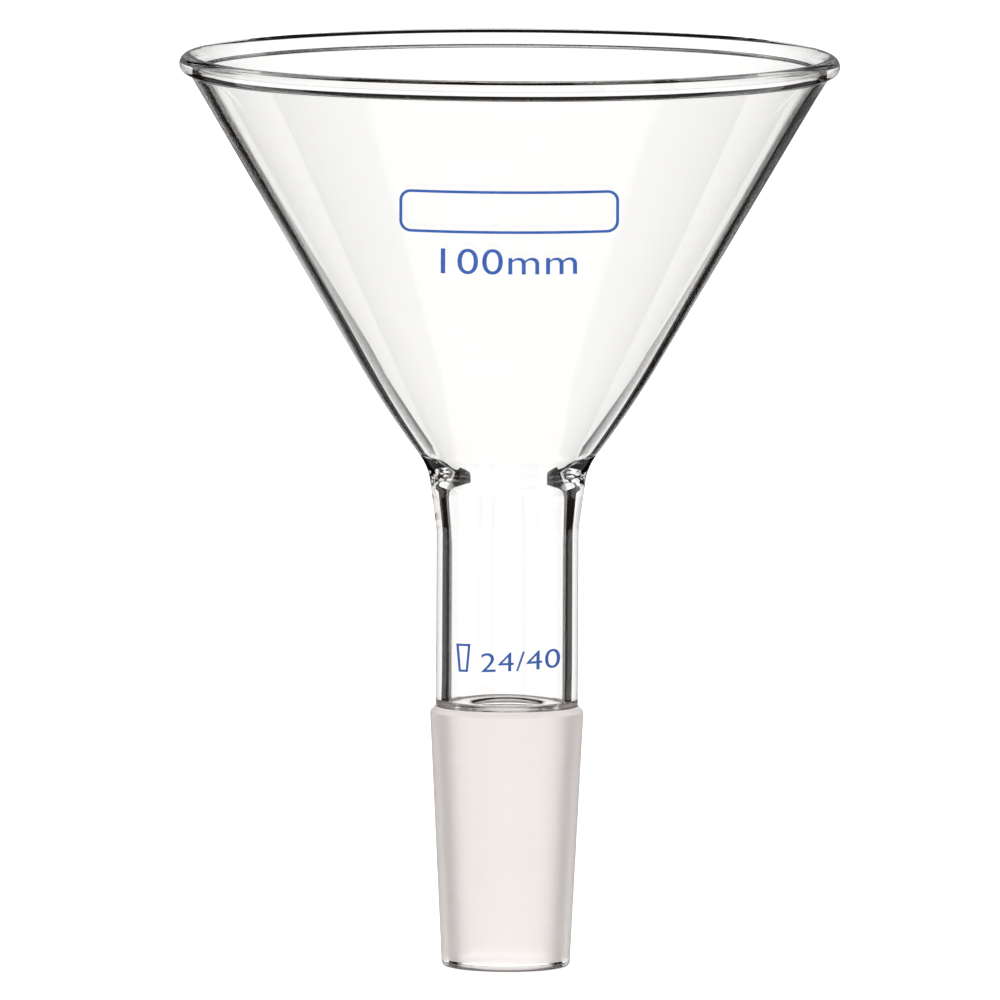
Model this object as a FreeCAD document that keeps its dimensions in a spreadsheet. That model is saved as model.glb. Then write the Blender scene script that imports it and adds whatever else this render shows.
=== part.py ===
"""Powder addition funnel with a 24/40 standard-taper joint, as a parametric document.

The funnel is one run of clear borosilicate glass that a glassblower fuses from these pieces, from
the tip up: a fire-polished tip, the ground joint, the seal that joins it to the stem, the stem, the
throat seal, the bowl and the beaded rim. Each piece is a ring turned about +Z, and each meets its
neighbours on flat annular seams.

The frame's origin is on the axis at the joint's gauge plane, where the taper is 24 mm across. Each
section is drawn upwards from its piece's own lower seam, and the body's Placement lifts the piece to
that seam's level. All sizes are in millimetres and degrees.
"""

import FreeCAD, Part
import collections
import os

import Sketcher

DIMENSIONS = (
    ("taper_length", 40.0, "ground taper, from the gauge plane down to the tip"),
    ("gauge_radius", 12.0, "taper's outside radius at the gauge plane"),
    ("taper_slope", 0.05, "radius gained per mm of height, a 1 in 10 taper"),
    ("joint_wall", 2.4, "wall of the joint, square to the axis"),
    ("tip_band", 1.2, "height of the fire-polished band at the tip"),
    ("tip_round", 0.8, "rounding of the tip's two edges"),
    ("seal_height", 5.5, "height of the seal between joint and stem"),
    ("shoulder_height", 0.9, "height of that seal's outer shoulder"),
    ("shoulder_round", 0.5, "rounding at the top of the shoulder"),
    ("hole_radius", 5.45, "radius of the hole in the seal's web, the narrowest of all"),
    ("web_foot", 0.3, "height of the web's flat underside"),
    ("web_top", 1.5, "height of the web's flat top"),
    ("hole_round", 0.58, "rounding of the hole's two edges"),
    ("web_fillet", 0.35, "fillet between the web's top and the stem"),
    ("web_root", 0.25, "fillet between the web's underside and the joint"),
    ("stem_radius", 11.1, "outside radius of the stem"),
    ("bore_radius", 9.1, "inside radius of the stem"),
    ("stem_length", 21.5, "plain stem between the two seals"),
    ("throat_height", 13.5, "height of the seal between stem and bowl"),
    ("flare_height", 1.5, "height where that seal's outside starts to flare"),
    ("flare_round", 15.0, "rounding where the flare starts"),
    ("weld_radius", 12.5, "outside radius where the flare meets the bowl"),
    ("weld_height", 11.45, "height of that corner"),
    ("weld_fillet", 9.0, "fillet in that corner"),
    ("throat_radius", 9.41, "inside radius where the bowl's foot meets the throat"),
    ("nose_height", 9.6, "height of that edge"),
    ("nose_round", 8.0, "rounding of that edge"),
    ("relief_height", 1.5, "height where the throat has narrowed to the stem's bore"),
    ("relief_round", 15.0, "rounding there"),
    ("bowl_lean", 30.4, "lean of the bowl's straight side from the axis"),
    ("foot_lean", 36.6, "lean of the bowl's side at its lower seam"),
    ("bowl_curve", 160.0, "radius of the curve between those two leans"),
    ("bend_radius", 23.6, "bowl's outside radius where its side becomes straight"),
    ("straight_height", 43.7, "height of the bowl's straight part"),
    ("bowl_wall", 1.4, "wall of the bowl, square to its surface"),
    ("bead_centre", 49.95, "distance of the bead's middle from the axis"),
    ("bead_height", 2.7, "height of the bead's middle above its seam"),
    ("bead_round", 1.55, "radius of the bead's round section"),
    ("bead_inset", 22.0, "angle below level where the bead meets the bowl's inside"),
    ("neck_fillet", 0.8, "fillets under the bead, outside and inside"),
)

# Sizes that follow from the driving ones.
TIP_RADIUS = "Size.gauge_radius - Size.taper_slope * Size.taper_length"
BAND_RADIUS = f"{TIP_RADIUS} + Size.taper_slope * Size.tip_band"
CURVED_HEIGHT = "Size.bowl_curve * (sin(Size.foot_lean) - sin(Size.bowl_lean))"
FOOT_RADIUS = "Size.bend_radius - Size.bowl_curve * (cos(Size.bowl_lean) - cos(Size.foot_lean))"
FOOT_WALL = "Size.bowl_wall / cos(Size.foot_lean)"
STRAIGHT_WALL = "Size.bowl_wall / cos(Size.bowl_lean)"
RELIEF_RUN = "(Size.throat_radius - Size.bore_radius) / (Size.nose_height - Size.relief_height)"
RELIEF_LEAN = f"atan({RELIEF_RUN})"
RELIEF_REACH = f"Size.relief_round * tan({RELIEF_LEAN} / 2)"
NECK_RADIUS = "Size.bend_radius + Size.straight_height * tan(Size.bowl_lean)"

# Levels of the seams above the gauge plane.
STEM_LEVEL = "Size.seal_height"
THROAT_LEVEL = f"{STEM_LEVEL} + Size.stem_length"
BOWL_LEVEL = f"{THROAT_LEVEL} + Size.throat_height"
RIM_LEVEL = f"{BOWL_LEVEL} + {CURVED_HEIGHT} + Size.straight_height"

CLOSE = 0.001

# A corner of a section. The side that leaves it is a line, or an arc where arc holds a radius. A
# hollow arc curves into the glass, and a major arc is more than half a circle.
CORNER_FIELDS = "radius height arc hollow major"
Corner = collections.namedtuple("Corner", CORNER_FIELDS, defaults=(None, False, False))


def make_sheet(document):
    """The sheet, one row for each dimension: its name, its value with that alias, and a note."""
    sheet = document.addObject("Spreadsheet::Sheet", "Size")
    for row, (alias, value, note) in enumerate(DIMENSIONS, start=1):
        sheet.set(f"A{row}", alias)
        sheet.set(f"B{row}", str(value))
        sheet.set(f"C{row}", note)
        sheet.setAlias(f"B{row}", alias)
    document.recompute()
    return sheet


DOCUMENT = FreeCAD.newDocument("PowderFunnel")
SHEET = make_sheet(DOCUMENT)


def measured(expression):
    """The number that an expression on the sheet's cells stands for."""
    return float(SHEET.evalExpression(expression))


def bulged_arc(start, end, corner):
    """The corner's arc from start to end. The glass is on the left of the way there."""
    radius = measured(corner.arc)
    chord = end - start
    outward = FreeCAD.Vector(chord.y, -chord.x, 0).normalize()
    if corner.hollow:
        outward = outward * -1
    depth = (radius**2 - (chord.Length / 2) ** 2) ** 0.5
    if corner.major:
        depth = -depth
    centre = start + chord * 0.5 - outward * depth
    return Part.Arc(start, centre + outward * radius, end)


def end_at(sketch, side, place):
    """1 or 2: which end of that side of the sketch lies at place."""
    return 1 if (sketch.getPoint(side, 1) - place).Length < CLOSE else 2


def bind(sketch, constraint, expression):
    """Adds the constraint and lets the expression set its value."""
    number = sketch.addConstraint(constraint)
    sketch.setExpression(f"Constraints[{number}]", expression)


def draw_section(sketch, corners):
    """Draws the closed section, anticlockwise, and binds every corner and arc to the sheet."""
    places = [FreeCAD.Vector(measured(c.radius), measured(c.height), 0) for c in corners]
    for corner, start, end in zip(corners, places, places[1:] + places[:1]):
        side = bulged_arc(start, end, corner) if corner.arc else Part.LineSegment(start, end)
        sketch.addGeometry(side, False)
    for side, (corner, place) in enumerate(zip(corners, places)):
        before = (side - 1) % len(corners)
        first = end_at(sketch, side, place)
        last = end_at(sketch, before, place)
        sketch.addConstraint(Sketcher.Constraint("Coincident", before, last, side, first))
        across = Sketcher.Constraint("DistanceX", -1, 1, side, first, place.x)
        bind(sketch, across, corner.radius)
        upwards = Sketcher.Constraint("DistanceY", -1, 1, side, first, place.y)
        bind(sketch, upwards, corner.height)
        if corner.arc:
            curvature = Sketcher.Constraint("Radius", side, measured(corner.arc))
            bind(sketch, curvature, corner.arc)


def turned_ring(label, level, corners):
    """A body: the section that the corners make, turned about +Z and lifted to its level."""
    body = DOCUMENT.addObject("PartDesign::Body", label)
    body.Label = label
    body.setExpression("Placement.Base.z", level)
    sketch = body.newObject("Sketcher::SketchObject", f"{label}_section")
    plane = next(item for item in body.Origin.OriginFeatures if item.Role == "XZ_Plane")
    sketch.AttachmentSupport = [(plane, "")]
    sketch.MapMode = "FlatFace"
    draw_section(sketch, corners)
    turn = body.newObject("PartDesign::Revolution", f"{label}_turn")
    turn.Profile = sketch
    turn.ReferenceAxis = (sketch, ["V_Axis"])
    turn.Angle = 360.0
    DOCUMENT.recompute()
    return body


def round_edge(body, radius, height, rounding):
    """Rounds the circular edge of that radius at that height in the body's own section."""
    base = body.Tip
    wanted_radius = measured(radius)
    wanted_height = measured(height)
    for number, edge in enumerate(base.Shape.Edges, start=1):
        circle = edge.Curve
        if not isinstance(circle, Part.Circle):
            continue
        if abs(circle.Radius - wanted_radius) < CLOSE and abs(circle.Center.z - wanted_height) < CLOSE:
            fillet = body.newObject("PartDesign::Fillet", f"{body.Label}_round")
            fillet.Base = (base, [f"Edge{number}"])
            fillet.setExpression("Radius", rounding)
            DOCUMENT.recompute()
            return
    raise ValueError(f"{body.Label} has no edge of radius {wanted_radius} at {wanted_height}")


def joint_tip():
    """The joint's lowest ring, whose edges are melted round in the flame."""
    corners = (
        Corner(TIP_RADIUS, "0"),
        Corner(BAND_RADIUS, "Size.tip_band"),
        Corner(f"{BAND_RADIUS} - Size.joint_wall", "Size.tip_band"),
        Corner(f"{TIP_RADIUS} - Size.joint_wall", "0"),
    )
    body = turned_ring("joint_tip", "-Size.taper_length", corners)
    round_edge(body, TIP_RADIUS, "0", "Size.tip_round")
    round_edge(body, f"{TIP_RADIUS} - Size.joint_wall", "0", "Size.tip_round")
    return body


def ground_joint():
    """The taper that seats in a 24/40 socket, ground on its outside."""
    top = "Size.taper_length - Size.tip_band"
    corners = (
        Corner(BAND_RADIUS, "0"),
        Corner("Size.gauge_radius", top),
        Corner("Size.gauge_radius - Size.joint_wall", top),
        Corner(f"{BAND_RADIUS} - Size.joint_wall", "0"),
    )
    return turned_ring("ground_joint", "-Size.taper_length + Size.tip_band", corners)


def joint_seal():
    """The fused ring between joint and stem: a shoulder outside, and inside a web with a hole."""
    joint_bore = "Size.gauge_radius - Size.joint_wall"
    corners = (
        Corner("Size.gauge_radius", "0"),
        Corner("Size.stem_radius", "Size.shoulder_height"),
        Corner("Size.stem_radius", "Size.seal_height"),
        Corner("Size.bore_radius", "Size.seal_height"),
        Corner("Size.bore_radius", "Size.web_top"),
        Corner("Size.hole_radius", "Size.web_top"),
        Corner("Size.hole_radius", "Size.web_foot"),
        Corner(joint_bore, "Size.web_foot"),
        Corner(joint_bore, "0"),
    )
    body = turned_ring("joint_seal", "0", corners)
    round_edge(body, "Size.stem_radius", "Size.shoulder_height", "Size.shoulder_round")
    round_edge(body, "Size.bore_radius", "Size.web_top", "Size.web_fillet")
    round_edge(body, "Size.hole_radius", "Size.web_top", "Size.hole_round")
    round_edge(body, "Size.hole_radius", "Size.web_foot", "Size.hole_round")
    round_edge(body, joint_bore, "Size.web_foot", "Size.web_root")
    return body


def stem_tube():
    """The plain tube between the two seals."""
    corners = (
        Corner("Size.stem_radius", "0"),
        Corner("Size.stem_radius", "Size.stem_length"),
        Corner("Size.bore_radius", "Size.stem_length"),
        Corner("Size.bore_radius", "0"),
    )
    return turned_ring("stem_tube", STEM_LEVEL, corners)


def throat_seal():
    """The thick weld between stem and bowl, which flares outside and opens a little inside."""
    relief_radius = f"Size.bore_radius + {RELIEF_REACH} * sin({RELIEF_LEAN})"
    relief_top = f"Size.relief_height + {RELIEF_REACH} * cos({RELIEF_LEAN})"
    corners = (
        Corner("Size.stem_radius", "0"),
        Corner("Size.stem_radius", "Size.flare_height"),
        Corner("Size.weld_radius", "Size.weld_height"),
        Corner(FOOT_RADIUS, "Size.throat_height"),
        Corner(f"{FOOT_RADIUS} - {FOOT_WALL}", "Size.throat_height"),
        Corner("Size.throat_radius", "Size.nose_height"),
        Corner(relief_radius, relief_top, arc="Size.relief_round"),
        Corner("Size.bore_radius", f"Size.relief_height - {RELIEF_REACH}"),
        Corner("Size.bore_radius", "0"),
    )
    body = turned_ring("throat_seal", THROAT_LEVEL, corners)
    round_edge(body, "Size.stem_radius", "Size.flare_height", "Size.flare_round")
    round_edge(body, "Size.weld_radius", "Size.weld_height", "Size.weld_fillet")
    round_edge(body, "Size.throat_radius", "Size.nose_height", "Size.nose_round")
    return body


def bowl():
    """The bowl's wall, straight at the top and curving in a little towards the throat."""
    top = f"{CURVED_HEIGHT} + Size.straight_height"
    corners = (
        Corner(FOOT_RADIUS, "0", arc="Size.bowl_curve"),
        Corner("Size.bend_radius", CURVED_HEIGHT),
        Corner(NECK_RADIUS, top),
        Corner(f"{NECK_RADIUS} - {STRAIGHT_WALL}", top),
        Corner(
            f"Size.bend_radius - {STRAIGHT_WALL}",
            CURVED_HEIGHT,
            arc="Size.bowl_curve - Size.bowl_wall",
            hollow=True,
        ),
        Corner(f"{FOOT_RADIUS} - {FOOT_WALL}", "0"),
    )
    return turned_ring("bowl", BOWL_LEVEL, corners)


def rim_bead():
    """The round bead that stiffens the bowl's mouth."""
    inset_radius = "Size.bead_centre - Size.bead_round * cos(Size.bead_inset)"
    inset_height = "Size.bead_height - Size.bead_round * sin(Size.bead_inset)"
    bead_foot = "Size.bead_height - Size.bead_round"
    corners = (
        Corner(NECK_RADIUS, "0"),
        Corner("Size.bead_centre", bead_foot, arc="Size.bead_round", major=True),
        Corner(inset_radius, inset_height),
        Corner(f"{NECK_RADIUS} - {STRAIGHT_WALL}", "0"),
    )
    body = turned_ring("rim_bead", RIM_LEVEL, corners)
    round_edge(body, "Size.bead_centre", bead_foot, "Size.neck_fillet")
    round_edge(body, inset_radius, inset_height, "Size.neck_fillet")
    return body


def check_document():
    """Stops if any object of the document failed to recompute."""
    for item in DOCUMENT.Objects:
        if "Invalid" in item.State or "Error" in item.State:
            raise ValueError(f"{item.Label} is {item.State}")


def write_part(body):
    """Writes the body's one valid solid to parts, under its label."""
    shape = body.Shape
    if shape.isNull() or not shape.isValid() or len(shape.Solids) != 1:
        raise ValueError(f"{body.Label} isn't one valid solid")
    shape.exportStep(f"parts/{body.Label}.step")
    box = shape.optimalBoundingBox()
    levels = f"z {box.ZMin:.2f} to {box.ZMax:.2f}"
    print(f"{body.Label}: {shape.Volume:.1f} mm3, {levels}, {box.XLength:.2f} across")


os.makedirs("parts", exist_ok=True)
PIECES = (joint_tip(), ground_joint(), joint_seal(), stem_tube(), throat_seal(), bowl(), rim_bead())
DOCUMENT.recompute()
check_document()
for piece in PIECES:
    write_part(piece)
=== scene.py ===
"""Looks of a glass powder funnel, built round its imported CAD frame.

The glass is one fused body. Its cross-section is drawn once, as a closed loop from the tip up the
outside, over the rim's bead and down the inside. The loop is turned about +Z and cut at the CAD
seams, so that every piece is a closed ring whose surface runs on smoothly into its neighbour's. The
flat faces inside the glass where two rings meet are invisible, because fused glass has none.

Lengths are in metres. Angles are in radians, apart from those of the softboxes and the steps along
arcs, which are in degrees.
"""

import math

import bmesh
import bpy
import numpy as np
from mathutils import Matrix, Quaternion, Vector


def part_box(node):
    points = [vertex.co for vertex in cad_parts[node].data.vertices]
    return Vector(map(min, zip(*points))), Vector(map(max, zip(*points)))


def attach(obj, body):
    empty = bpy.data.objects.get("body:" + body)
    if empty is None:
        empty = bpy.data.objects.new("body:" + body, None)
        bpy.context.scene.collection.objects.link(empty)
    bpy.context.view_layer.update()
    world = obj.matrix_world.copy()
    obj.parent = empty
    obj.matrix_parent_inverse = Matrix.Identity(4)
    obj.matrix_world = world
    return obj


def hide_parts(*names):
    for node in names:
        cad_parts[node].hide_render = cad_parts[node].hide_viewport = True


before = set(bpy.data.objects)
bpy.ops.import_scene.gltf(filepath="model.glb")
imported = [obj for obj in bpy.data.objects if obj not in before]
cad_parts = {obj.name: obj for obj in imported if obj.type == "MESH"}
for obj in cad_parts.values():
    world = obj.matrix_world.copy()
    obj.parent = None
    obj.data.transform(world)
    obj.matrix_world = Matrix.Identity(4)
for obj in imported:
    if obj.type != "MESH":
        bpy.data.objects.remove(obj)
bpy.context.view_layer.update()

MM = 0.001
SAME_PLACE = 0.001 * MM  # closer points than this are one
TURNS = 288  # facets round the axis
NODES = ("joint_tip", "ground_joint", "joint_seal", "stem_tube", "throat_seal", "bowl", "rim_bead")


# ---------------------------------------------------------------- sizes, from the frame

def seam_radii(node, level):
    """Inside and outside radius of a CAD node's flat seam at that level."""
    points = [v.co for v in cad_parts[node].data.vertices if abs(v.co.z - level) < SAME_PLACE]
    radii = [math.hypot(p.x, p.y) for p in points]
    return min(radii), max(radii)


FOOT = {node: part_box(node)[0].z for node in NODES}
GAUGE_INNER, GAUGE_OUTER = seam_radii("ground_joint", 0.0)
BORE_RADIUS, STEM_RADIUS = seam_radii("stem_tube", FOOT["stem_tube"])
BOWL_FOOT_INNER, BOWL_FOOT_OUTER = seam_radii("bowl", FOOT["bowl"])
NECK_INNER, NECK_OUTER = seam_radii("bowl", FOOT["rim_bead"])

TIP_INNER, TIP_OUTER = 7.6 * MM, 10.0 * MM
TIP_ROUND = 0.8 * MM
GAUGE_ROUND = 0.12 * MM
SHOULDER_TOP = 0.9 * MM
SHOULDER_FILLET = 0.5 * MM

# The web across the foot of the stem, and its hole.
WEB_FOOT, WEB_TOP = 0.3 * MM, 1.5 * MM
WEB_FILLET, WEB_ROOT = 0.35 * MM, 0.25 * MM
HOLE_RADIUS = 5.45 * MM
HOLE_ROUND = 0.58 * MM

# The throat's weld, in heights above its lower seam.
FLARE_HEIGHT, FLARE_ROUND = 1.5 * MM, 15 * MM
WELD_RADIUS, WELD_HEIGHT, WELD_FILLET = 12.5 * MM, 11.45 * MM, 9 * MM
THROAT_RADIUS, NOSE_HEIGHT, NOSE_ROUND = 9.41 * MM, 9.6 * MM, 8 * MM

BOWL_LEAN = math.radians(30.4)
BOWL_FOOT_LEAN = math.radians(36.6)
BOWL_CURVE = 160 * MM
BOWL_WALL = 1.4 * MM
BEAD_CENTRE = (49.95 * MM, FOOT["rim_bead"] + 2.7 * MM)
BEAD_ROUND = 1.55 * MM
NECK_FILLET = 0.8 * MM


# ---------------------------------------------------------------- the section

ARC_STEP = 6  # most degrees between two points of an arc
BEAD_STEP = 5
ARC_SIDE = 1.0 * MM  # longest side of a fillet's arc
LONGEST_SIDE = 1.6 * MM  # and of the whole section


def arc_points(centre, radius, start, end, step=ARC_STEP):
    """Points on an arc between two angles, both ends included, at most step degrees apart."""
    count = max(2, math.ceil(abs(math.degrees(end - start)) / step) + 1)
    angles = np.linspace(start, end, count)
    return [(centre[0] + radius * math.cos(a), centre[1] + radius * math.sin(a)) for a in angles]


def rounded_corner(before, corner, after, radius):
    """The fillet arc that replaces a corner of a chain of straight sides."""
    corner = np.array(corner)
    into = corner - before
    out = after - corner
    into = into / np.linalg.norm(into)
    out = out / np.linalg.norm(out)
    turn = math.atan2(into[0] * out[1] - into[1] * out[0], float(into @ out))
    side = math.copysign(1, turn)
    reach = radius * math.tan(abs(turn) / 2)
    start = corner - into * reach
    centre = start + side * radius * np.array((-into[1], into[0]))
    first = math.atan2(*(start - centre)[::-1])
    step = min(ARC_STEP, math.degrees(ARC_SIDE / radius))
    return arc_points(centre, radius, first, first + turn, step)


def rounded_chain(corners):
    """Points along a chain of (radius, height, fillet) corners. The two ends have no fillet."""
    chain = [np.array(c[:2]) for c in corners]
    points = [tuple(chain[0])]
    for before, corner, after, spec in zip(chain, chain[1:], chain[2:], corners[1:]):
        points += rounded_corner(before, corner, after, spec[2])
    points.append(tuple(chain[-1]))
    return points


def bead_points():
    """The bead from its neck outside, over the top, to its neck inside, with both neck fillets."""
    up = np.array((math.sin(BOWL_LEAN), math.cos(BOWL_LEAN)))
    centre = np.array(BEAD_CENTRE)
    sides = []
    for foot, sign in (((NECK_OUTER, FOOT["rim_bead"]), 1), ((NECK_INNER, FOOT["rim_bead"]), -1)):
        away = sign * np.array((up[1], -up[0]))
        depth = float((centre - foot) @ -away)
        along = float((centre - foot) @ up)
        reach = math.sqrt((BEAD_ROUND + NECK_FILLET) ** 2 - (NECK_FILLET + depth) ** 2)
        middle = np.array(foot) + up * (along - reach) + away * NECK_FILLET
        to_wall = math.atan2(*(-away)[::-1])
        to_bead = math.atan2(*(centre - middle)[::-1])
        turn = (to_bead - to_wall + math.pi) % (2 * math.pi) - math.pi
        sides.append((middle, to_wall, to_wall + turn, to_bead + math.pi))
    (outer, outer_wall, outer_bead, bead_start), (inner, inner_wall, inner_bead, bead_end) = sides
    while bead_end < bead_start:
        bead_end += 2 * math.pi
    points = arc_points(outer, NECK_FILLET, outer_wall, outer_bead)
    points += arc_points(BEAD_CENTRE, BEAD_ROUND, bead_start, bead_end, BEAD_STEP)[1:]
    points += arc_points(inner, NECK_FILLET, inner_bead, inner_wall)[1:]
    return points


def bowl_corner(foot_radius, wall):
    """Corner of the bowl's two straight leans, for its outside (wall 0) or its inside."""
    reach = (BOWL_CURVE - wall) * math.tan((BOWL_FOOT_LEAN - BOWL_LEAN) / 2)
    radius = foot_radius + reach * math.sin(BOWL_FOOT_LEAN)
    height = FOOT["bowl"] + reach * math.cos(BOWL_FOOT_LEAN)
    return radius, height, BOWL_CURVE - wall


def section_loop():
    """The glass's section as a closed loop of (radius, height), anticlockwise from the tip."""
    tip, throat = FOOT["joint_tip"], FOOT["throat_seal"]
    land = (TIP_INNER + TIP_OUTER) / 2
    bead = bead_points()
    outside = rounded_chain([
        (land, tip),
        (TIP_OUTER, tip, TIP_ROUND),
        (GAUGE_OUTER, 0, GAUGE_ROUND),
        (STEM_RADIUS, SHOULDER_TOP, SHOULDER_FILLET),
        (STEM_RADIUS, throat + FLARE_HEIGHT, FLARE_ROUND),
        (WELD_RADIUS, throat + WELD_HEIGHT, WELD_FILLET),
        bowl_corner(BOWL_FOOT_OUTER, 0),
        bead[0],
    ])
    inside = rounded_chain([
        bead[-1],
        bowl_corner(BOWL_FOOT_INNER, BOWL_WALL),
        (THROAT_RADIUS, throat + NOSE_HEIGHT, NOSE_ROUND),
        (BORE_RADIUS, throat + FLARE_HEIGHT, FLARE_ROUND),
        (BORE_RADIUS, WEB_TOP, WEB_FILLET),
        (HOLE_RADIUS, WEB_TOP, HOLE_ROUND),
        (HOLE_RADIUS, WEB_FOOT, HOLE_ROUND),
        (GAUGE_INNER, WEB_FOOT, WEB_ROOT),
        (TIP_INNER, tip, TIP_ROUND),
        (land, tip),
    ])
    return outside + bead[1:-1] + inside[:-1]


def split_long(loop):
    """The loop with a point on every seam level and no side longer than the limit."""
    levels = [FOOT[node] for node in NODES[1:]]
    nearly_level, nearly_end = 1e-9, 1e-6
    points = []
    for start, end in zip(loop, loop[1:] + loop[:1]):
        cuts = [0.0]
        rise = end[1] - start[1]
        for level in levels:
            if abs(rise) > nearly_level:
                share = (level - start[1]) / rise
                if nearly_end < share < 1 - nearly_end:
                    cuts.append(share)
        cuts = sorted(cuts) + [1.0]
        for low, high in zip(cuts, cuts[1:]):
            length = math.dist(start, end) * (high - low)
            pieces = max(1, math.ceil(length / LONGEST_SIDE))
            for k in range(pieces):
                share = low + (high - low) * k / pieces
                points.append((start[0] + (end[0] - start[0]) * share, start[1] + rise * share))
    clean = [points[0]]
    for point in points[1:]:
        if math.dist(point, clean[-1]) > SAME_PLACE:
            clean.append(point)
    return clean


# ---------------------------------------------------------------- hand-blown unevenness

def bump(height, middle, spread):
    """1 at the middle level, falling to 0 away from it."""
    return np.exp(-(((height - middle) / spread) ** 2))


WAVES = ((1, 0.5), (2, 0.8), (3, 0.6), (5, 0.4))  # crests round the ring, and their weight
SEED_TURN, CREST_TURN = 2.399, 1.7  # what a seed and a crest count add to the phase
CLIMB, CREST_CLIMB = 0.6, 0.23  # how fast the crests wind up the glass
WAVE_SUM = 1.6
RIM_SPREAD = 3 * MM
RIM_WAVES = 3  # seed of the waves that the bead's outside and inside share


def waves(angle, height, seed, scale=12 * MM):
    """A smooth uneven field between about -1 and 1, the same at angle 0 and a full turn."""
    total = 0
    for k, weight in WAVES:
        phase = seed * SEED_TURN * k + CREST_TURN * k
        climb = height / scale * (CLIMB + CREST_CLIMB * k)
        total = total + weight * np.sin(k * angle + phase + climb)
    return total / WAVE_SUM


def unevenness(outer, height, angle):
    """How far the glass stands off its true radius there, as the glassblower left it."""
    weld = bump(height, 35 * MM, 5 * MM)
    web = bump(height, 2 * MM, 2.5 * MM)
    rim = bump(height, BEAD_CENTRE[1], RIM_SPREAD)
    bowl = np.clip((height - 40 * MM) / (20 * MM), 0, 1) * (1 - rim)
    if outer:
        return (
            0.06 * MM * weld * waves(angle, height, 1, 15 * MM)
            + 0.05 * MM * bowl * waves(angle, height, 2, 25 * MM)
            + 0.10 * MM * rim * waves(angle, height, RIM_WAVES)
        )
    return (
        0.12 * MM * weld * waves(angle, height, 4, 15 * MM)
        + 0.06 * MM * web * waves(angle, height, 5)
        + 0.07 * MM * bowl * waves(angle, height, 6, 30 * MM)
        + 0.10 * MM * rim * waves(angle, height, RIM_WAVES)
    )


# ---------------------------------------------------------------- turning the section

PROFILE = np.array(split_long(section_loop()))
OUTER_ROWS = int(np.argmax(PROFILE[:, 1])) + 1  # rows from the tip up to the top of the bead
OUTSIDE, INSIDE, SEAM, SHOULDER = range(4)  # the finishes of a piece, in the order of its materials
BEYOND = 1.0  # takes the first and last nodes well past the section's ends


def surface_grid():
    """Points and normals of the turned loop, one row of TURNS points for each loop point."""
    angles = np.arange(TURNS) * 2 * math.pi / TURNS
    points = np.zeros((len(PROFILE), TURNS, 3))
    for row, (radius, height) in enumerate(PROFILE):
        r = radius + unevenness(row < OUTER_ROWS, height, angles)
        points[row, :, 0] = r * np.cos(angles)
        points[row, :, 1] = r * np.sin(angles)
        points[row, :, 2] = height
    rim = bump(PROFILE[:, 1], BEAD_CENTRE[1], RIM_SPREAD)[:, None]
    points[:, :, 2] += 0.12 * MM * rim * waves(angles, 0.0, 7)[None, :]
    along = np.roll(points, -1, 0) - np.roll(points, 1, 0)
    around = np.roll(points, -1, 1) - np.roll(points, 1, 1)
    normals = np.cross(around, along)
    normals /= np.linalg.norm(normals, axis=2, keepdims=True)
    return points, normals


def piece_runs(node):
    """The runs of loop rows that bound a node: each is a list of row numbers, ends included."""
    low = FOOT[node] - (BEYOND if node == "joint_tip" else 0)
    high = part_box(node)[1].z + (BEYOND if node == "rim_bead" else 0)
    count = len(PROFILE)
    middles = [(PROFILE[row, 1] + PROFILE[(row + 1) % count, 1]) / 2 for row in range(count)]
    mine = [low < middle < high for middle in middles]
    first = next(row for row in range(count) if mine[row] and not mine[row - 1])
    runs = []
    for step in range(count):
        row = (first + step) % count
        if not mine[row]:
            continue
        if not mine[row - 1]:
            runs.append([row])
        runs[-1].append((row + 1) % count)
    return runs


def finish_slot(node, low, high):
    """Which finish the band between two rows takes."""
    if max(low, high) >= OUTER_ROWS:
        return INSIDE
    on_shoulder = node == "joint_seal" and max(PROFILE[low, 1], PROFILE[high, 1]) < SHOULDER_TOP
    return SHOULDER if on_shoulder else OUTSIDE


def glass_piece(node, grid, finishes):
    """The closed ring that stands for a CAD node.

    Its finishes are the materials of the outside, the inside and the seams, and on the joint's seal
    also of the shoulder.
    """
    points, normals = grid
    runs = piece_runs(node)
    rows = [row for run in runs for row in run]
    at = {row: number for number, row in enumerate(rows)}
    verts = points[rows].reshape(-1, 3)
    faces, slots, loop_normals = [], [], []

    def add_band(low, high, slot, flat=None):
        for turn in range(TURNS):
            following = (turn + 1) % TURNS
            corners = ((low, turn), (low, following), (high, following), (high, turn))
            faces.append([at[row] * TURNS + t for row, t in corners])
            slots.append(slot)
            loop_normals.extend(normals[row, t] if flat is None else flat for row, t in corners)

    for run in runs:
        for low, high in zip(run, run[1:]):
            add_band(low, high, finish_slot(node, low, high))
    for run, following in zip(runs, runs[1:] + runs[:1]):
        low, high = run[-1], following[0]
        top = low < high if len(runs) == 2 else node == "joint_tip"
        add_band(low, high, SEAM, flat=(0, 0, 1 if top else -1))
    mesh = bpy.data.meshes.new(node)
    mesh.from_pydata(verts.tolist(), [], faces)
    for material in finishes:
        mesh.materials.append(material)
    mesh.polygons.foreach_set("material_index", slots)
    mesh.polygons.foreach_set("use_smooth", [True] * len(faces))
    mesh.normals_split_custom_set([tuple(n) for n in loop_normals])
    piece = bpy.data.objects.new(f"{node}_glass", mesh)
    bpy.context.scene.collection.objects.link(piece)
    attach(piece, "root")
    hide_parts(node)
    return piece


# ---------------------------------------------------------------- materials

GLASS_IOR = 1.474
GROUND_ROUGHNESS = 0.29
GROUND_CLEARNESS, SHOULDER_CLEARNESS = 0.63, 0.2


def new_material(name):
    """A material with a Principled node, and the two."""
    material = bpy.data.materials.new(name)
    material.use_nodes = True
    return material, material.node_tree.nodes["Principled BSDF"]


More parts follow.
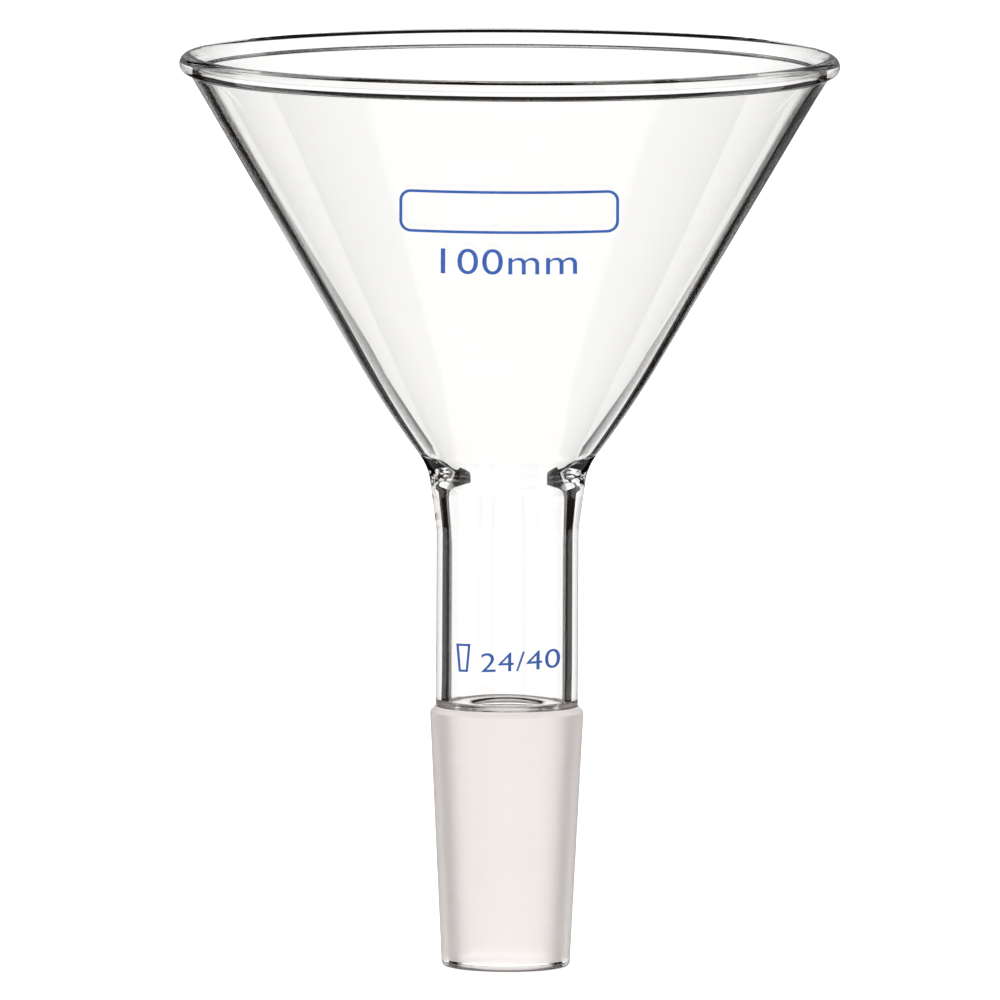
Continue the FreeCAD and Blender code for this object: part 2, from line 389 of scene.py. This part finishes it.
def set_sockets(node, **values):
    """Sets a node's sockets by name, with _ for a space."""
    for name, value in values.items():
        node.inputs[name.replace("_", " ")].default_value = value


def noise(tree, scale, stretch=(1, 1, 1), detail=3.0):
    """A noise pattern in the piece's own space: scale is in features per metre."""
    place = tree.nodes.new("ShaderNodeTexCoord")
    mapping = tree.nodes.new("ShaderNodeMapping")
    mapping.inputs["Scale"].default_value = stretch
    pattern = tree.nodes.new("ShaderNodeTexNoise")
    set_sockets(pattern, Scale=scale, Detail=detail)
    tree.links.new(place.outputs["Object"], mapping.inputs["Vector"])
    tree.links.new(mapping.outputs["Vector"], pattern.inputs["Vector"])
    return pattern.outputs["Fac"]


def ramp(tree, value, low, high):
    """A colour that runs from low to high with the value."""
    node = tree.nodes.new("ShaderNodeValToRGB")
    node.color_ramp.elements[0].position = 0.3
    node.color_ramp.elements[0].color = (*low, 1)
    node.color_ramp.elements[1].position = 0.7
    node.color_ramp.elements[1].color = (*high, 1)
    tree.links.new(value, node.inputs["Fac"])
    return node.outputs["Color"]


def spread(tree, value, low, high):
    """The value, from 0 to 1, moved to lie between low and high."""
    node = tree.nodes.new("ShaderNodeMapRange")
    set_sockets(node, To_Min=low, To_Max=high)
    tree.links.new(value, node.inputs["Value"])
    return node.outputs["Result"]


def relief(tree, value, shader, depth):
    """Lets the value raise the shader's surface by up to depth."""
    node = tree.nodes.new("ShaderNodeBump")
    set_sockets(node, Strength=1.0, Distance=depth)
    tree.links.new(value, node.inputs["Height"])
    tree.links.new(node.outputs["Normal"], shader.inputs["Normal"])


def clear_glass():
    """Clear fire-polished borosilicate glass, with the faintest change of tint in its depth."""
    material, shader = new_material("clear_glass")
    tree = material.node_tree
    set_sockets(shader, Roughness=0.0, IOR=GLASS_IOR, Transmission_Weight=1.0)
    tint = ramp(tree, noise(tree, 40), (0.985, 0.985, 0.982), (0.993, 0.993, 0.991))
    tree.links.new(tint, shader.inputs["Base Color"])
    return material


def ground_glass(name, clearness):
    """Finely ground glass: milky and rough, with the faint rings that the grinding leaves."""
    material, shader = new_material(name)
    tree = material.node_tree
    set_sockets(shader, IOR=GLASS_IOR, Transmission_Weight=clearness, Roughness=GROUND_ROUGHNESS)
    rings = noise(tree, 500, stretch=(0.12, 0.12, 2.5), detail=4.0)
    tint = ramp(tree, rings, (0.955, 0.9, 0.876), (0.98, 0.937, 0.92))
    tree.links.new(tint, shader.inputs["Base Color"])
    relief(tree, noise(tree, 2600), shader, 0.01 * MM)
    return material


def seam_glass():
    """The inner faces where two pieces are fused, which light doesn't notice."""
    material, shader = new_material("fused_seam")
    set_sockets(shader, Alpha=0.0)
    return material


def blue_enamel():
    """Blue fired enamel, a little uneven in cover."""
    material, shader = new_material("blue_enamel")
    tree = material.node_tree
    cover = noise(tree, 900)
    blue = ramp(tree, cover, (0.010, 0.070, 0.33), (0.022, 0.105, 0.39))
    tree.links.new(blue, shader.inputs["Base Color"])
    tree.links.new(spread(tree, cover, 0.3, 0.5), shader.inputs["Roughness"])
    return material


# ---------------------------------------------------------------- enamel marks

ENAMEL_TOP, ENAMEL_FOOT = 0.045 * MM, 0.004 * MM  # the enamel's two skins, above the glass
ENAMEL_STEP = 0.4 * MM  # width of the strips that follow the glass's curve
FRONT = -math.pi / 2
FONT_THINNING, FONT_SPACING = -0.003, 1.04

PANEL_SIZE, PANEL_ROUND, PANEL_LINE = (34.0 * MM, 7.0 * MM), 1.8 * MM, 0.45 * MM
PANEL_LEVEL = 81.6 * MM
BOWL_MARK_SIZE = (21.1 * MM, 4.2 * MM)
BOWL_MARK_LEVEL = 73.5 * MM
STEM_MARK_SIZE = (12.3 * MM, 3.0 * MM)
STEM_MARK_LEVEL, STEM_MARK_ACROSS = 8.9 * MM, 2.1 * MM
STEM_SLOPE = 0.05  # climb of the line of writing on the stem

# A small picture of a taper, seen from the side.
PICTURE_TOP, PICTURE_FOOT, PICTURE_RISE = 1.1 * MM, 0.7 * MM, 2.2 * MM
PICTURE_LINE = 0.35 * MM
PICTURE_LEVEL, PICTURE_ACROSS = 9.2 * MM, -6.8 * MM
PICTURE_CORNERS = (
    (PICTURE_TOP, PICTURE_RISE),
    (-PICTURE_TOP, PICTURE_RISE),
    (-PICTURE_FOOT, -PICTURE_RISE),
    (PICTURE_FOOT, -PICTURE_RISE),
)


def outer_radius(height, angle):
    """Radius of the glass's outside at that height and angle, in the uneven surface."""
    radius = float(np.interp(height, PROFILE[:OUTER_ROWS, 1], PROFILE[:OUTER_ROWS, 0]))
    return radius + float(unevenness(True, height, angle))


def lettering(words, fitted):
    """A flat filled mesh of digits or letters, centred on the origin and fitted to a size."""
    curve = bpy.data.curves.new("words", "FONT")
    curve.body = words
    curve.offset = FONT_THINNING
    curve.space_character = FONT_SPACING
    curve.resolution_u = 6
    holder = bpy.data.objects.new("words", curve)
    bpy.context.scene.collection.objects.link(holder)
    bpy.context.view_layer.update()
    evaluated = holder.evaluated_get(bpy.context.evaluated_depsgraph_get())
    mesh = bpy.data.meshes.new_from_object(evaluated)
    bpy.data.objects.remove(holder)
    flat = bmesh.new()
    flat.from_mesh(mesh)
    bpy.data.meshes.remove(mesh)
    for axis, size in enumerate(fitted):
        places = [v.co[axis] for v in flat.verts]
        middle = (min(places) + max(places)) / 2
        scale = size / (max(places) - min(places))
        for v in flat.verts:
            v.co[axis] = (v.co[axis] - middle) * scale
    return flat


def outline(corners, line):
    """A flat closed line round the corners, which run anticlockwise."""
    flat = bmesh.new()
    outer = [np.array(c) for c in corners]
    inner = []
    for before, corner, after in zip(outer[-1:] + outer[:-1], outer, outer[1:] + outer[:1]):
        into = (corner - before) / np.linalg.norm(corner - before)
        out = (after - corner) / np.linalg.norm(after - corner)
        inward = np.array((-into[1] - out[1], into[0] + out[0]))
        inner.append(corner + inward * line / (1 + float(into @ out)))
    outer = [flat.verts.new((*p, 0)) for p in outer]
    inner = [flat.verts.new((*p, 0)) for p in inner]
    for k in range(len(outer)):
        flat.faces.new((outer[k - 1], outer[k], inner[k], inner[k - 1]))
    return flat


def panel(size, rounding):
    """Corners of a rounded rectangle, centred on the origin."""
    width, height = size
    points = []
    for quarter, (sx, sy) in enumerate(((1, 1), (-1, 1), (-1, -1), (1, -1))):
        centre = (sx * (width / 2 - rounding), sy * (height / 2 - rounding))
        start = quarter * math.pi / 2
        points += arc_points(centre, rounding, start, start + math.pi / 2, step=9)
    return points


def enamel_on_glass(name, flat, level, material, across=0.0, slope=0.0):
    """Wraps a flat mesh round the glass's front and gives it thickness.

    Its middle comes to that level and that far across, and its line of writing climbs by the slope.
    """
    low = min(v.co.x for v in flat.verts)
    high = max(v.co.x for v in flat.verts)
    for k in range(1, int((high - low) / ENAMEL_STEP)):
        geometry = flat.verts[:] + flat.edges[:] + flat.faces[:]
        place = (low + k * ENAMEL_STEP, 0, 0)
        bmesh.ops.bisect_plane(flat, geom=geometry, dist=1e-7, plane_co=place, plane_no=(1, 0, 0))
    bmesh.ops.remove_doubles(flat, verts=flat.verts[:], dist=SAME_PLACE)
    flat.verts.index_update()
    verts = []
    for skin in (ENAMEL_TOP, ENAMEL_FOOT):
        for v in flat.verts:
            x = v.co.x + across
            height = level + v.co.y + v.co.x * slope
            angle = math.asin(x / outer_radius(height, FRONT)) + FRONT
            r = outer_radius(height, angle) + skin
            verts.append((r * math.cos(angle), r * math.sin(angle), height))
    count = len(flat.verts)
    faces = []
    for face in flat.faces:
        ring = [v.index for v in face.verts]
        faces.append(ring)
        faces.append([k + count for k in reversed(ring)])
        for a, b in zip(ring, ring[1:] + ring[:1]):
            edge = flat.edges.get((face.verts[ring.index(a)], face.verts[ring.index(b)]))
            if len(edge.link_faces) == 1:
                faces.append([b, a, a + count, b + count])
    flat.free()
    mesh = bpy.data.meshes.new(name)
    mesh.from_pydata(verts, [], faces)
    mesh.materials.append(material)
    mark = bpy.data.objects.new(name, mesh)
    bpy.context.scene.collection.objects.link(mark)
    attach(mark, "root")
    return mark


# ---------------------------------------------------------------- studio

FLOOR_LEVEL = FOOT["joint_tip"] - 0.2 * MM
FLOOR_RADIUS = 6
FLOOR_SIDES = 64


def make_floor():
    """A plain white floor that glows like a light table.

    The glass doesn't mirror or refract it, as its bright image would wash out the glass's dark edges.
    """
    mesh = bpy.data.meshes.new("floor")
    angles = np.arange(FLOOR_SIDES) * 2 * math.pi / FLOOR_SIDES
    ring = [(FLOOR_RADIUS * math.cos(a), FLOOR_RADIUS * math.sin(a), FLOOR_LEVEL) for a in angles]
    mesh.from_pydata(ring, [], [list(range(FLOOR_SIDES))])
    floor = bpy.data.objects.new("floor", mesh)
    bpy.context.scene.collection.objects.link(floor)
    material, shader = new_material("floor_white")
    set_sockets(shader, Base_Color=(0.8, 0.8, 0.8, 1), Roughness=0.9)
    set_sockets(shader, Emission_Color=(1, 1, 1, 1), Emission_Strength=0.75)
    mesh.materials.append(material)
    floor.visible_transmission = False
    floor.visible_glossy = False


# Softboxes of the surroundings: azimuth and elevation of the middle, half width, half height.
SOFTBOXES = [(turn, 0, 27, 10.3) for turn in (0, 90, 180, 270)]
# A tall one and a small low one clear the middle of the throat from in front and from the side.
SOFTBOXES += [(turn, -4.5, 9, 22.5) for turn in (0, 90)]
SOFTBOXES += [(turn, -24, 14, 4.5) for turn in (0, 90)]
# Views from the corners, a little from above, have these behind the glass.
SOFTBOXES += [(turn, -30, 20, 9) for turn in (45, 135, 315)]
SOFTBOXES += [(225, -26, 20, 14), (225, -4.5, 10, 22.5)]
# The one straight below lights the web and the shoulder.
SOFTBOXES += [(0, -90, 35, 35)]
ROUNDNESS = 4.0  # 2 would make the softboxes ellipses, and more squares them off
SOFT_EDGE = 0.15
SHADE = (0.012, 0.009, 0.008, 1)  # between the softboxes
LIGHT = (1.15, 1.14, 1.13, 1)
MATT_LIGHT = 0.9  # what light scattered by a matt surface meets, all round
MIRROR_LOSS = 0.8  # how much weaker the softboxes are in the glass's outer reflections


def math_node(tree, operation, *inputs):
    """A Math node whose inputs are sockets or numbers. Returns its output."""
    node = tree.nodes.new("ShaderNodeMath")
    node.operation = operation
    for socket, value in zip(node.inputs, inputs):
        if isinstance(value, bpy.types.NodeSocket):
            tree.links.new(value, socket)
        else:
            socket.default_value = value
    return node.outputs[0]


def dot(tree, vector, fixed):
    """The dot product of a socket's vector with a fixed one."""
    node = tree.nodes.new("ShaderNodeVectorMath")
    node.operation = "DOT_PRODUCT"
    tree.links.new(vector, node.inputs[0])
    node.inputs[1].default_value = fixed
    return node.outputs["Value"]


def softbox(tree, direction, azimuth, elevation, half_width, half_height):
    """How much of a light with round corners is seen in a direction, from 0 to 1."""
    a, e = math.radians(azimuth), math.radians(elevation)
    middle = Vector((-math.sin(a) * math.cos(e), math.cos(a) * math.cos(e), math.sin(e)))
    across = Vector((math.cos(a), math.sin(a), 0))
    upward = across.cross(middle)
    least = 0.001  # keeps directions that face away clear of a division by zero
    facing = math_node(tree, "MAXIMUM", dot(tree, direction, middle), least)
    spans = []
    for axis, half in ((across, half_width), (upward, half_height)):
        reach = math_node(tree, "DIVIDE", dot(tree, direction, axis), facing)
        share = math_node(tree, "DIVIDE", reach, math.tan(math.radians(half)))
        spans.append(math_node(tree, "POWER", math_node(tree, "ABSOLUTE", share), ROUNDNESS))
    fade = tree.nodes.new("ShaderNodeMapRange")
    fade.interpolation_type = "SMOOTHSTEP"
    tree.links.new(math_node(tree, "ADD", *spans), fade.inputs["Value"])
    set_sockets(fade, From_Min=1 - SOFT_EDGE, From_Max=1 + SOFT_EDGE, To_Min=1.0, To_Max=0.0)
    return fade.outputs["Result"]


def light_colour(tree, seen):
    """White where seen is 1, and the shade's colour where it is 0."""
    node = tree.nodes.new("ShaderNodeValToRGB")
    node.color_ramp.elements[0].color = SHADE
    node.color_ramp.elements[1].color = LIGHT
    tree.links.new(seen, node.inputs["Fac"])
    return node.outputs["Color"]


def make_world():
    """White to the camera, and softboxes with dark gaps to the glass, which give it its edges."""
    world = bpy.data.worlds.new("studio")
    bpy.context.scene.world = world
    world.use_nodes = True
    tree = world.node_tree
    background = tree.nodes["Background"]
    direction = tree.nodes.new("ShaderNodeTexCoord").outputs["Generated"]
    lit = 0.0
    for box in SOFTBOXES:
        lit = math_node(tree, "MAXIMUM", lit, softbox(tree, direction, *box))
    path = tree.nodes.new("ShaderNodeLightPath")
    mirrored = math_node(tree, "MULTIPLY", path.outputs["Is Reflection Ray"], MIRROR_LOSS)
    lit = math_node(tree, "MULTIPLY", lit, math_node(tree, "SUBTRACT", 1.0, mirrored))
    seen = math_node(tree, "MAXIMUM", lit, path.outputs["Is Camera Ray"])
    scattered = math_node(tree, "MINIMUM", path.outputs["Diffuse Depth"], MATT_LIGHT)
    seen = math_node(tree, "MAXIMUM", seen, scattered)
    tree.links.new(light_colour(tree, seen), background.inputs["Color"])


CAMERA_DISTANCE = 5.0
CAMERA_ELEVATION = math.radians(5.53)
CAMERA_TARGET = Vector((-1.21 * MM, 0, 33.1 * MM))
FIELD = 156.15 * MM  # width of the view at the funnel
ROLL = math.radians(0.257)
SENSOR_WIDTH = 36  # in mm, as Blender gives it and the lens


def make_camera():
    """The camera, a little above the funnel, with a long lens and a slight roll."""
    data = bpy.data.cameras.new("camera")
    camera = bpy.data.objects.new("camera", data)
    bpy.context.scene.collection.objects.link(camera)
    data.sensor_width = SENSOR_WIDTH
    data.lens = SENSOR_WIDTH * CAMERA_DISTANCE / FIELD
    data.clip_start, data.clip_end = 0.1, 20
    back = Vector((0, -math.cos(CAMERA_ELEVATION), math.sin(CAMERA_ELEVATION)))
    camera.location = CAMERA_TARGET + back * CAMERA_DISTANCE
    camera.rotation_mode = "QUATERNION"
    camera.rotation_quaternion = (-back).to_track_quat("-Z", "Y") @ Quaternion((0, 0, 1), ROLL)
    bpy.context.scene.camera = camera


# ---------------------------------------------------------------- assembly

clear, seam, enamel = clear_glass(), seam_glass(), blue_enamel()
ground = ground_glass("ground_glass", GROUND_CLEARNESS)
shoulder = ground_glass("ground_shoulder", SHOULDER_CLEARNESS)
finishes = {node: (clear, clear, seam) for node in NODES}
finishes["ground_joint"] = (ground, clear, seam)
finishes["joint_seal"] = (clear, clear, seam, shoulder)
grid = surface_grid()
for node in NODES:
    glass = glass_piece(node, grid, finishes[node])

writing_panel = outline(panel(PANEL_SIZE, PANEL_ROUND), PANEL_LINE)
enamel_on_glass("bowl_panel_mark", writing_panel, PANEL_LEVEL, enamel)
bowl_size = lettering("100mm", BOWL_MARK_SIZE)
enamel_on_glass("bowl_size_mark", bowl_size, BOWL_MARK_LEVEL, enamel)
stem_size = lettering("24/40", STEM_MARK_SIZE)
enamel_on_glass("stem_size_mark", stem_size, STEM_MARK_LEVEL, enamel, STEM_MARK_ACROSS, STEM_SLOPE)
taper_picture = outline(PICTURE_CORNERS, PICTURE_LINE)
enamel_on_glass("stem_taper_mark", taper_picture, PICTURE_LEVEL, enamel, PICTURE_ACROSS, STEM_SLOPE)

make_floor()
make_world()
make_camera()

scene = bpy.context.scene
scene.view_settings.view_transform = "Standard"
# A ray crosses many faces of glass in the rim and the welds.
scene.cycles.max_bounces = 32
scene.cycles.transmission_bounces = 32
scene.cycles.glossy_bounces = 16
scene.cycles.transparent_max_bounces = 32
